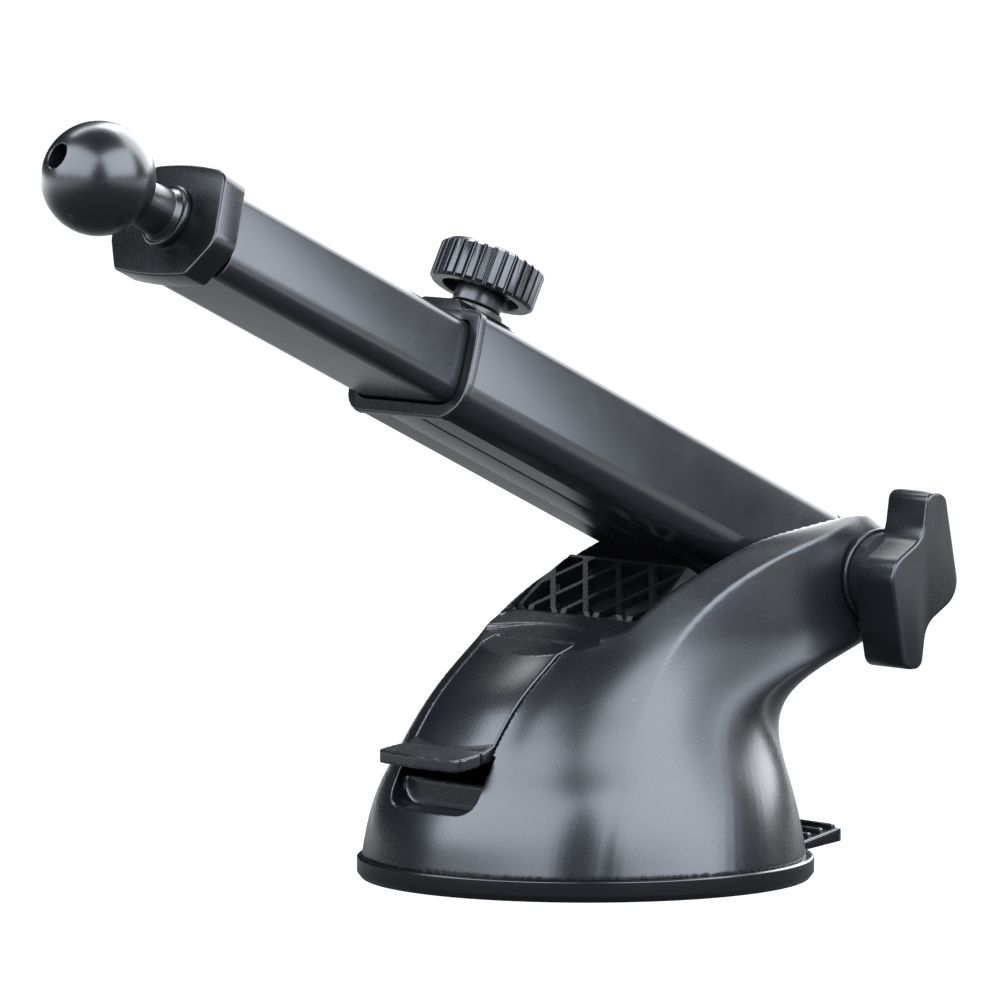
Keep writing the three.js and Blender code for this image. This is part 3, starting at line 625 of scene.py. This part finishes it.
def inner_outline(grow=0.0, radii=(2.0, 0.5, 0.6)):
    foot_half = 8.8 + grow * 0.8
    return tube_outline(6.15 + grow, 9.1 + grow * 0.85, -3.3, 11.9 + grow, -7.15 - grow, foot_half, radii)


def make_outer_tube():
    body = along_arm(outer_outline(), OUTER_REAR, OUTER_FRONT, "outer_sleeve", rims=(0.25, 0.25))
    cut(
        body,
        along_arm(inner_outline(0.35), OUTER_REAR - 1, OUTER_FRONT + 1),
        arm_block(-4.3, 4.3, 20, OUTER_FRONT + 1, -10, -8.4),
        rod(4.4, 3, 10, ARM_UP, arm_at(THUMB_AT)),
        rod(1.6, -10, -5, ARM_UP, arm_at(15)),
    )
    return body


def make_strip():
    outline = rounded([(-4, -9.3, 0.25), (4, -9.3, 0.25), (4, -8.7, 0), (-4, -8.7, 0)])
    return along_arm(outline, 20.3, OUTER_FRONT, "underside_strip")


def make_collar():
    sleeve = outer_outline(0.25, (2.2, 1.0, 0.6))
    body = along_arm(sleeve, OUTER_FRONT + 0.05, COLLAR_FRONT, rims=(0, 0.35))
    saddle = rounded([
        (-7.5, 5, 0), (7.5, 5, 0), (6.2, 8.4, 1.5), (4.4, 9.8, 1.4), (-4.4, 9.8, 1.4), (-6.2, 8.4, 1.5),
    ])
    joined(body, along_arm(saddle, THUMB_AT - 8, COLLAR_FRONT, rims=(0.3, 0.35)))
    cut(body, along_arm(outer_outline(0.3), THUMB_AT - 10, OUTER_FRONT + 0.04))
    boss = rounded([(0, 8.5, 0), (BOSS_R, 8.5, 0), (BOSS_R, 10.7, 0.3), (0, 10.7, 0)], closed=False)
    joined(body, turned("boss", boss, 64, ARM_UP, arm_at(THUMB_AT)))
    cut(
        body,
        along_arm(inner_outline(0.35, (2.0, 1.0, 0.6)), THUMB_AT - 10, COLLAR_FRONT + 1),
        rod(3, 0, 20, ARM_UP, arm_at(THUMB_AT)), rod(4.3, 0, 10, ARM_UP, arm_at(THUMB_AT), 6),
    )
    body.name = "front_collar"
    return body


def make_root():
    body = along_arm(outer_outline(), 0, OUTER_REAR - GAP, "hinge_root", rims=(0, 0.25))
    kept(body, arm_block(-ROOT_HALF, ROOT_HALF, -3, 30, -12, 12))
    joined(body, along_arm(inner_outline(-0.05), 2, 19.5))
    profile = [(0, -ROOT_HALF, 0), (8, -ROOT_HALF, 0.4), (8, ROOT_HALF, 0.4), (0, ROOT_HALF, 0)]
    barrel = turned("barrel", rounded(profile, closed=False), 96, X, HINGE)
    joined(body, cut(barrel, arm_block(-20, 20, OUTER_REAR - GAP, 20, -12, 12)))
    core = kept(along_arm(inner_outline(-2.5), 10.5, 20), arm_block(-20, 20, 10, 30, -4.5, 5))
    return cut(body, core, rod(2.8, -20, 20, X, HINGE), rod(1.1, -10, -5.6, ARM_UP, arm_at(15)))


def make_inner_tube():
    body = along_arm(inner_outline(), INNER_REAR, INNER_FRONT, "inner_sleeve", rims=(0.2, 0.2))
    return cut(body, along_arm(inner_outline(-1.5), INNER_REAR - 1, INNER_FRONT + 1))


def make_end_plate():
    # the top and bottom edges are gently arched
    face = [(13.2, -3.2, 3.6), (9.6, 7.9, 3.0)]
    for i in range(1, 6):
        x = 9.6 - 19.2 * i / 6
        face.append((x, 8.6 - 0.7 * (x / 9.6) ** 2, 0))
    face += [(-9.6, 7.9, 3.0), (-13.2, -3.2, 3.6), (-9, -8.7, 1.4)]
    for i in range(1, 6):
        x = -9 + 18 * i / 6
        face.append((x, -9.2 + 0.5 * (x / 9) ** 2, 0))
    face.append((9, -8.7, 1.4))
    outline = rounded(face, 8)
    body = along_arm(outline, PLATE_REAR, PLATE_FRONT, "end_cap", rims=(0.3, 0.45))
    joined(body, along_arm(inner_outline(-1.8), PLATE_REAR - 7, PLATE_REAR + 1))
    return cut(body, rod(2.9, PLATE_REAR - 6, PLATE_FRONT + 4, ARM_OUT, HINGE))


def make_ball_stud():
    foot = PLATE_FRONT + GAP * 0.2
    profile = rounded([
        (0, foot - 9.6, 0), (2.5, foot - 9.6, 0.2), (2.5, foot, 0), (4.9, foot, 0.15),
        (4.9, foot + 1.0, 0.45), (4.2, foot + 1.1, 0.1), (NECK_R, foot + 2.0, 0.5),
        (NECK_R - 0.15, foot + 5.2, 0),
    ], closed=False)
    start = math.asin((NECK_R - 0.1) / BALL_R)
    end = math.pi - math.asin((BALL_HOLE_R + 0.15) / BALL_R)
    for i in range(65):
        w = start + (end - start) * i / 64
        profile.append((BALL_R * math.sin(w), REACH - BALL_R * math.cos(w)))
    profile += [(BALL_HOLE_R, REACH + 8.1), (BALL_HOLE_R, REACH + 3.5), (0, REACH + 3.5)]
    return turned("ball_joint", profile, 160, ARM_OUT, HINGE)


# one rib of the screw head: a flat land, then a narrow groove with a low ridge in it
RIB = (
    (0, 0.62), (0.05, 0.6), (0.1, 0.1), (0.14, 0), (0.66, 0), (0.7, 0.1), (0.75, 0.6), (0.8, 0.62),
    (0.87, 0.36), (0.93, 0.36),
)


def make_thumb_screw():
    outline = []
    for i in range(THUMB_RIBS):
        for step, depth in RIB:
            r = THUMB_R - depth
            w = 2 * math.pi * (i + step) / THUMB_RIBS
            outline.append((r * math.cos(w), r * math.sin(w)))
    low, high = THUMB_LOW, THUMB_HIGH
    foot = arm_at(THUMB_AT)
    body = prism("knurled_screw", outline, low, high, X, -ARM_OUT, foot)
    envelope = rounded([
        (0, 7.95, 0), (2.4, 7.95, 0.3), (2.4, 11.0, 0), (THUMB_NECK, 11.0, 0.2),
        (THUMB_NECK, low + 1.9, 0.3), (6.0, low + 1.9, 0.3), (6.15, low, 0.2), (THUMB_R - 0.5, low, 0.15),
        (THUMB_R + 0.06, low + 0.5, 0.15), (THUMB_R + 0.06, high - 1.0, 0.4), (THUMB_R - 1.1, high, 0.6),
        (0, high, 0),
    ], closed=False)
    stem = rounded([
        (0, 7.95, 0), (2.4, 7.95, 0.3), (2.4, 11.0, 0), (THUMB_NECK, 11.0, 0.2),
        (THUMB_NECK, low + 2.2, 0), (0, low + 2.2, 0),
    ], closed=False)
    joined(body, turned("stem", stem, 96, ARM_UP, foot))
    return kept(body, turned("envelope", envelope, 128, ARM_UP, foot))


# ---- hinge hardware ----
def make_knob():
    side = [(7.1, -2.4, 4.6), (4.2, 13.5, 1.9), (0.5, 13.5, 1.6), (-0.45, 6.75, 4.5)]
    points = rounded(side + [(-y, -z, r) for y, z, r in side], 12)
    body = prism("wing_grip", points, KNOB_BACK + 0.8, KNOB_FACE, Y, Z, HINGE, rims=(0.4, 0.5))
    profile = [(0, KNOB_BACK, 0), (6.9, KNOB_BACK, 0.25), (6.9, KNOB_BACK + 2, 0), (0, KNOB_BACK + 2, 0)]
    flange = rounded(profile, closed=False)
    joined(body, turned("flange", flange, 96, X, HINGE))
    return cut(body, rod(2.8, KNOB_BACK - 1, 28.3, X, HINGE), rod(5, KNOB_BACK - 1, 24.4, X, HINGE, 6))


def make_washer():
    profile = rounded([
        (2.8, CHEEK_FACE + GAP, 0), (7.4, CHEEK_FACE + GAP, 0.15), (7.4, KNOB_BACK - GAP * 0.5, 0.25),
        (2.8, KNOB_BACK - GAP * 0.5, 0),
    ])
    return turned("knob_ring", profile, 96, X, HINGE)


def make_cap():
    profile = rounded([
        (0, -22.8, 0), (6.6, -22.8, 0.6), (7.4, -22, 0.6), (7.4, -19.3, 0), (0, -19.3, 0),
    ], closed=False)
    return cut(turned("bolt_cap", profile, 96, X, HINGE), rod(5, -21.8, -19, X, HINGE))


# ---- materials ----
class Nodes:
    """A material under way: its tree, its main shader, and short ways to add to them."""

    def __init__(self, name, material=None):
        self.material = material or bpy.data.materials.new(name)
        self.material.use_nodes = True
        self.tree = self.material.node_tree
        self.shader = self.tree.nodes["Principled BSDF"]
        self.place = self.tree.nodes.new("ShaderNodeTexCoord").outputs["Object"]

    def link(self, a, b):
        self.tree.links.new(a, b)

    def noise(self, scale, detail=2.0, rough=0.5, stretch=None):
        node = self.tree.nodes.new("ShaderNodeTexNoise")
        node.inputs["Scale"].default_value = scale
        node.inputs["Detail"].default_value = detail
        node.inputs["Roughness"].default_value = rough
        source = self.place
        if stretch:
            mapping = self.tree.nodes.new("ShaderNodeMapping")
            mapping.inputs["Scale"].default_value = stretch
            self.link(self.place, mapping.inputs["Vector"])
            source = mapping.outputs["Vector"]
        self.link(source, node.inputs["Vector"])
        return node.outputs["Fac"]

    def spread(self, value, low, high, out_low, out_high):
        node = self.tree.nodes.new("ShaderNodeMapRange")
        for key, number in (("From Min", low), ("From Max", high), ("To Min", out_low), ("To Max", out_high)):
            node.inputs[key].default_value = number
        self.link(value, node.inputs["Value"])
        return node.outputs["Result"]

    def maths(self, operation, a, b):
        node = self.tree.nodes.new("ShaderNodeMath")
        node.operation = operation
        for socket, value in zip(node.inputs, (a, b)):
            if isinstance(value, (int, float)):
                socket.default_value = value
            else:
                self.link(value, socket)
        return node.outputs[0]

    def mixed(self, factor, a, b):
        node = self.tree.nodes.new("ShaderNodeMix")
        node.data_type = "RGBA"
        for socket, value in ((node.inputs[6], a), (node.inputs[7], b)):
            if isinstance(value, tuple):
                socket.default_value = (*value, 1)
            else:
                self.link(value, socket)
        self.link(factor, node.inputs[0])
        return node.outputs[2]

    def edges(self, low=0.53, high=0.6):
        """Where the outer edges are painted paler as a highlight, from 0 to 1."""
        node = self.tree.nodes.new("ShaderNodeNewGeometry")
        return self.spread(node.outputs["Pointiness"], low, high, 0, 1)

    def bump(self, height, strength, distance, onto=None):
        node = self.tree.nodes.new("ShaderNodeBump")
        node.inputs["Strength"].default_value = strength
        node.inputs["Distance"].default_value = distance
        self.link(height, node.inputs["Height"])
        if onto:
            self.link(onto, node.inputs["Normal"])
        return node.outputs["Normal"]


def moulded(name, dark, light, rough, grain=0.025, edge_highlight_amount=0.35, tone=(0.07, 0.075, 0.085)):
    """Satin moulded plastic: fine spark texture, slow changes of tone and gloss, outer edges painted paler as
    a highlight, more in some patches.
    """
    n = Nodes(name)
    slow = n.noise(38, 2)
    fine = n.noise(5200, 2, 0.6)
    smear = n.noise(160, 3, 0.6)
    colour = n.mixed(n.spread(slow, 0.35, 0.65, 0, 1), dark, light)
    # painted highlight: the outer edges are mixed towards the paler tone, by an amount that the smear noise
    # varies
    painted_edge_highlight = n.maths("MULTIPLY", n.edges(), n.spread(smear, 0.35, 0.65, 0.15 * edge_highlight_amount, edge_highlight_amount))
    n.link(n.mixed(painted_edge_highlight, colour, tone), n.shader.inputs["Base Color"])
    slow_gloss = n.spread(smear, 0.3, 0.7, rough - 0.012, rough + 0.014)
    gloss = n.maths("ADD", slow_gloss, n.spread(fine, 0.3, 0.7, -0.02, 0.02))
    n.link(gloss, n.shader.inputs["Roughness"])
    normal = n.bump(fine, grain, 0.00004)
    n.link(n.bump(smear, 0.012, 0.0002, normal), n.shader.inputs["Normal"])
    return n.material


def metal(name, dark, light, rough, stretch):
    n = Nodes(name)
    streak = n.noise(900, 3, 0.6, stretch)
    slow = n.noise(60, 2)
    n.link(n.mixed(n.spread(streak, 0.3, 0.7, 0, 1), dark, light), n.shader.inputs["Base Color"])
    n.link(n.spread(slow, 0.3, 0.7, rough - 0.06, rough + 0.08), n.shader.inputs["Roughness"])
    n.shader.inputs["Metallic"].default_value = 1
    n.link(n.bump(streak, 0.1, 0.00005), n.shader.inputs["Normal"])
    return n.material


# the tone of each finish below is the paler colour painted on its outer edges as a highlight
GRAPHITE_EDGE_HIGHLIGHT = (0.03, 0.032, 0.036)
SATIN = moulded(
    "satin_graphite", (0.0036, 0.0038, 0.0044), (0.0052, 0.0055, 0.0064), 0.27, tone=GRAPHITE_EDGE_HIGHLIGHT,
)
TUBE = moulded(
    "tube_graphite", (0.004, 0.0042, 0.0048), (0.0056, 0.0059, 0.0068), 0.25, 0.02, tone=GRAPHITE_EDGE_HIGHLIGHT,
)
BLACK = moulded(
    "matt_black", (0.0022, 0.0022, 0.0025), (0.0034, 0.0034, 0.0037), 0.27, tone=(0.014, 0.014, 0.016),
)
RUBBER = moulded(
    "soft_rubber", (0.0025, 0.0025, 0.0028), (0.004, 0.004, 0.0044), 0.2, 0.06, tone=(0.01, 0.01, 0.011),
)
STEEL = metal("zinc_steel", (0.5, 0.5, 0.51), (0.62, 0.62, 0.63), 0.3, (1, 1, 4))
BRASS = metal("brass_insert", (0.6, 0.42, 0.18), (0.74, 0.56, 0.3), 0.32, (4, 1, 1))
LOOKS = {"satin": SATIN, "tube": TUBE, "black": BLACK, "rubber": RUBBER, "steel": STEEL, "brass": BRASS}

# ---- the pieces ----
for name, part, body, node, slot, sharp in (
    ("base_shell", make_housing, "base", "housing", "satin", 0),
    ("press_lever", make_lever, "lever", "suction_lever", "satin", 0),
    ("suction_ring", make_cup, "base", "suction_cup", "rubber", 35),
    ("diamond_ribs", make_rib_frame, "base", "rib_frame", "black", 35),
    ("outer_sleeve", make_outer_tube, "arm", "outer_tube", "tube", 35),
    ("underside_strip", make_strip, "arm", "bottom_strip", "black", 35),
    ("front_collar", make_collar, "arm", "collar", "black", 35),
    ("hinge_root", make_root, "arm", "arm_root", "satin", 35),
    ("inner_sleeve", make_inner_tube, "extension", "inner_tube", "tube", 35),
    ("end_cap", make_end_plate, "extension", "end_plate", "black", 35),
    ("ball_joint", make_ball_stud, "extension", "ball_stud", "satin", 35),
    ("knurled_screw", make_thumb_screw, "clamp_screw", "thumb_screw", "satin", 35),
    ("wing_grip", make_knob, "knob", "wing_knob", "satin", 35),
    ("knob_ring", make_washer, "base", "knob_washer", "satin", 35),
    ("bolt_cap", make_cap, "base", "hinge_cap", "satin", 35),
):
    piece = part()
    piece.name = name
    finished(piece, body, (node,), LOOKS[slot], sharp)

bpy.data.objects.remove(shell_shape)

# the CAD nodes that stay get finishes of the same kind
for name, slot in (
    ("base_plate", "black"), ("stem", "black"), ("inner_plug", "black"), ("pressure_pad", "rubber"),
    ("lever_pin", "steel"), ("stem_pin", "steel"), ("return_spring", "steel"), ("base_screw_1", "steel"),
    ("base_screw_2", "steel"), ("base_screw_3", "steel"), ("hinge_bolt", "steel"),
    ("friction_washer_left", "steel"), ("friction_washer_right", "steel"), ("root_screw", "steel"),
    ("knob_nut", "brass"), ("thumb_nut", "brass"),
):
    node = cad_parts[name]
    node.data.materials.clear()
    node.data.materials.append(LOOKS[slot])


# ---- floor and studio light ----
FLOOR_HALF = 30.0
FLOOR_GLOW_BEHIND = (0.08, 0.9)
FLOOR_GLOW_BESIDE = 3
FLOOR_SEEN = 1.15
LIGHT_AIM = Vector((0, -0.02, 0.06))
COOL = (0.80, 0.88, 1.0)
COOL_REAR = (0.93, 0.96, 1.0)
DIM_ROOM = (0.012, 0.013, 0.016, 1)


def make_floor():
    side = FLOOR_HALF
    mesh = bpy.data.meshes.new("floor")
    corners = [(-side, -side, 0), (side, -side, 0), (side, side, 0), (-side, side, 0)]
    mesh.from_pydata(corners, [], [(0, 1, 2, 3)])
    floor = bpy.data.objects.new("floor", mesh)
    bpy.context.scene.collection.objects.link(floor)
    material = bpy.data.materials.new("pale_floor")
    material.use_nodes = True
    shader = material.node_tree.nodes["Principled BSDF"]
    shader.inputs["Base Color"].default_value = (0.03, 0.03, 0.03, 1)
    shader.inputs["Roughness"].default_value = 1
    shader.inputs["Specular IOR Level"].default_value = 0
    shader.inputs["Emission Color"].default_value = (0.94, 0.97, 1, 1)
    # the floor looks white, but it lights the object less, mostly from behind and from far to its sides
    n = Nodes("floor_glow", material)
    right, up, back = camera_axes()

    def along(way):
        dot = material.node_tree.nodes.new("ShaderNodeVectorMath")
        dot.operation = "DOT_PRODUCT"
        dot.inputs[1].default_value = way
        n.link(n.place, dot.inputs[0])
        return dot.outputs["Value"]

    behind = n.spread(along((back.x, back.y, 0)), 0.0, -0.3, *FLOOR_GLOW_BEHIND)
    beside = n.spread(n.maths("ABSOLUTE", along(right), 0), 0.25, 0.9, 0, FLOOR_GLOW_BESIDE)
    dim = n.maths("ADD", behind, beside)
    ray = material.node_tree.nodes.new("ShaderNodeLightPath")
    seen = n.spread(ray.outputs["Is Camera Ray"], 0, 1, 0, FLOOR_SEEN)
    n.link(n.maths("MAXIMUM", dim, seen), shader.inputs["Emission Strength"])
    mesh.materials.append(material)


def softbox(name, azimuth, elevation, distance, width, height, power, tint):
    """A soft light. Its azimuth is 0 towards the camera and positive to the camera's right."""
    right, up, back = camera_axes()
    level = Vector((back.x, back.y, 0)).normalized()
    a, e = math.radians(azimuth), math.radians(elevation)
    way = (level * math.cos(a) + right * math.sin(a)) * math.cos(e) + Z * math.sin(e)
    data = bpy.data.lights.new(name, "AREA")
    data.shape = "RECTANGLE"
    data.size = width
    data.size_y = height
    data.energy = power
    data.color = tint
    lamp = bpy.data.objects.new(name, data)
    bpy.context.scene.collection.objects.link(lamp)
    lamp.location = LIGHT_AIM + way * distance
    lamp.rotation_mode = "QUATERNION"
    lamp.rotation_quaternion = way.to_track_quat("Z", "Y")


def make_world():
    world = bpy.data.worlds.new("studio")
    world.use_nodes = True
    bpy.context.scene.world = world
    tree = world.node_tree
    ground = tree.nodes["Background"]
    ground.inputs["Color"].default_value = DIM_ROOM
    seen = tree.nodes.new("ShaderNodeBackground")
    seen.inputs["Color"].default_value = (1, 1, 1, 1)
    path = tree.nodes.new("ShaderNodeLightPath")
    mix = tree.nodes.new("ShaderNodeMixShader")
    tree.links.new(path.outputs["Is Camera Ray"], mix.inputs[0])
    tree.links.new(ground.outputs[0], mix.inputs[1])
    tree.links.new(seen.outputs[0], mix.inputs[2])
    tree.links.new(mix.outputs[0], tree.nodes["World Output"].inputs["Surface"])


make_floor()
make_world()
softbox("left_softbox", -53, 33, 1.2, 1.95, 1.10, 64, COOL)
softbox("right_softbox", 50, 33, 1.2, 1.50, 1.10, 56, COOL)
softbox("rear_softbox", 142, 34, 1.4, 1.70, 1.40, 60, COOL_REAR)
softbox("rear_strip", -166, 54, 1.4, 1.20, 0.30, 9, COOL_REAR)
bpy.context.scene.view_settings.view_transform = "Standard"
